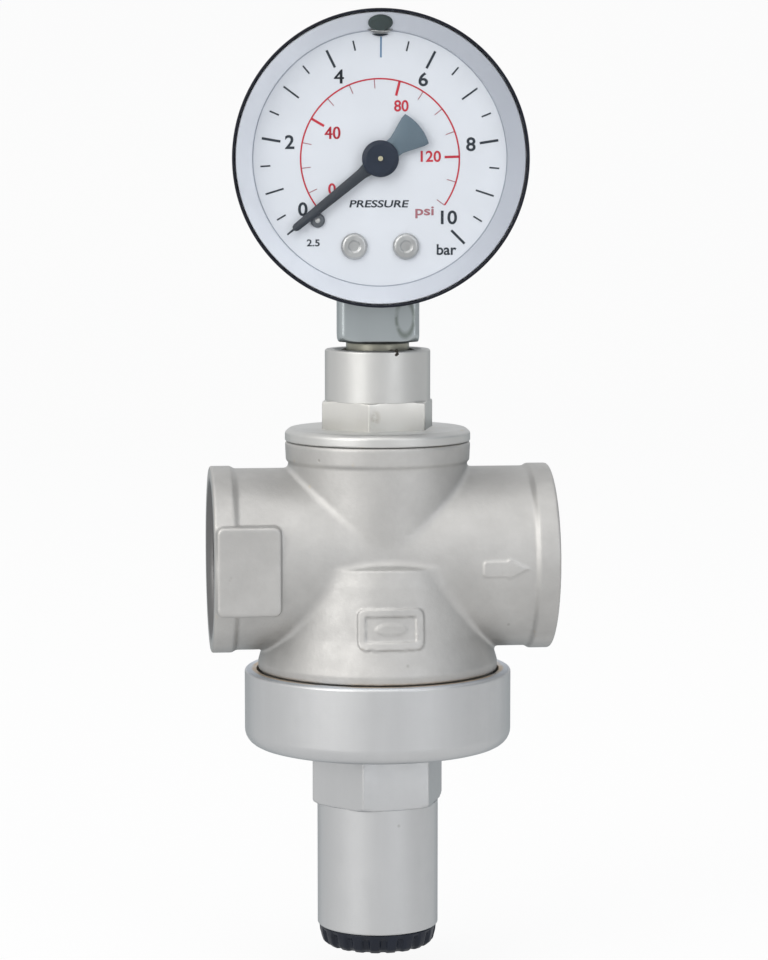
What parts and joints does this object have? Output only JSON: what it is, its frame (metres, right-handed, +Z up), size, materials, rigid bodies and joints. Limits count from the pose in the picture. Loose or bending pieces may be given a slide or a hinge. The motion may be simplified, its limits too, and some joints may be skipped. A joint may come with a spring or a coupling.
{
  "type": "pressure reducing valve",
  "caption": "Spring and piston pressure reducing valve for pipework, with a threaded inlet and outlet, a round dial gauge on top and a capped spring bonnet below.",
  "frame": {"origin": "centre of the flat bottom of the cap, which is the bottom centre of the whole valve's box; the pipe axis is 68.75 mm above it", "axes": "+X along the pipe axis from the inlet to the outlet; -Y is the side the gauge faces; +Z up along the valve's axis from the cap to the gauge"},
  "size_m": [0.0594, 0.0468, 0.1632],
  "materials": {
    "nickel_plate": "satin nickel plate over brass, fine grain with a few casting pits",
    "brass": "turned brass",
    "stainless": "turned stainless steel",
    "rubber": "moulded black rubber",
    "cap_plastic": "moulded dark blue-black plastic",
    "case_plastic": "smooth black plastic",
    "clear_window": "clear plastic window",
    "ring_plastic": "pale blue-grey moulded plastic",
    "dial_white": "white dial plate with a printed scale",
    "pointer_grey": "slate grey plastic",
    "seal_tape": "ragged sealing tape"
  },
  "bodies": {
    "valve_body": {"body": "nickel_plate", "seat_insert": "stainless", "stem_oring": "rubber", "range_spring": "stainless", "bonnet": "nickel_plate", "bonnet_oring": "rubber", "top_plug": "nickel_plate", "top_plug_oring": "rubber", "gauge_case": "case_plastic", "gauge_window": "clear_window", "gauge_inner_ring": "ring_plastic", "vent_plug": "rubber", "gauge_dial": "dial_white", "stop_pin": "dial_white", "dial_screw_left": "dial_white", "dial_screw_right": "dial_white", "movement_front_plate": "brass", "movement_back_plate": "brass", "movement_screw_left": "stainless", "movement_screw_right": "stainless", "bourdon_tube": "brass", "tube_tip": "brass", "gauge_socket": "nickel_plate", "gauge_thread_seal": "seal_tape"},
    "closing_member": {"stem": "brass", "disc_gasket": "rubber", "disc_holder": "brass", "stem_nut": "stainless", "piston": "brass", "piston_oring": "rubber", "piston_nut": "stainless"},
    "spring_seat": {"spring_plate": "stainless"},
    "setting_screw": {"adjusting_screw": "brass"},
    "cap_seal": {"cap_oring": "rubber"},
    "screw_cap": {"cap": "cap_plastic"},
    "pointer": {"gauge_pointer": "pointer_grey", "pointer_arbor": "brass"},
    "sector": {"sector_gear": "brass"},
    "draw_link": {"link": "stainless"}
  },
  "joints": [
    {"name": "valve_lift", "type": "slide", "parent": "valve_body", "child": "closing_member", "axis": [0, 0, 1], "range_m": [-0.0029, 0]},
    {"name": "seat_travel", "type": "slide", "parent": "valve_body", "child": "spring_seat", "axis": [0, 0, 1], "range_m": [0, 0.006], "deforming": ["range_spring"]},
    {"name": "adjuster_turn", "type": "hinge", "parent": "spring_seat", "child": "setting_screw", "pos_m": [0, 0, 0.0095], "axis": [0, 0, 1], "range_deg": [0, 1441]},
    {"name": "cap_travel", "type": "slide", "parent": "valve_body", "child": "cap_seal", "axis": [0, 0, -1], "range_m": [0, 0.0045]},
    {"name": "cap_turn", "type": "hinge", "parent": "cap_seal", "child": "screw_cap", "pos_m": [0, 0, 0.0015], "axis": [0, 0, -1], "range_deg": [0, 1081]},
    {"name": "pointer_turn", "type": "hinge", "parent": "valve_body", "child": "pointer", "pos_m": [0, 0, 0.1382], "axis": [0.0689, 0.9976, 0], "range_deg": [0, 264]},
    {"name": "sector_turn", "type": "hinge", "parent": "valve_body", "child": "sector", "pos_m": [0.00544, -0.00038, 0.12876], "axis": [0.0689, 0.9976, 0], "range_deg": [-33.1, 0]},
    {"name": "link_turn", "type": "hinge", "parent": "sector", "child": "draw_link", "pos_m": [0.01026, -0.00071, 0.12747], "axis": [0.0689, 0.9976, 0], "range_deg": [0, 33.1]}
  ],
  "couplings": [
    {"joint": "adjuster_turn", "follows": "seat_travel", "rad_per_m": 4188.8},
    {"joint": "cap_turn", "follows": "cap_travel", "rad_per_m": 4188.8},
    {"joint": "sector_turn", "follows": "pointer_turn", "ratio": -0.125},
    {"joint": "link_turn", "follows": "pointer_turn", "ratio": 0.125}
  ]
}
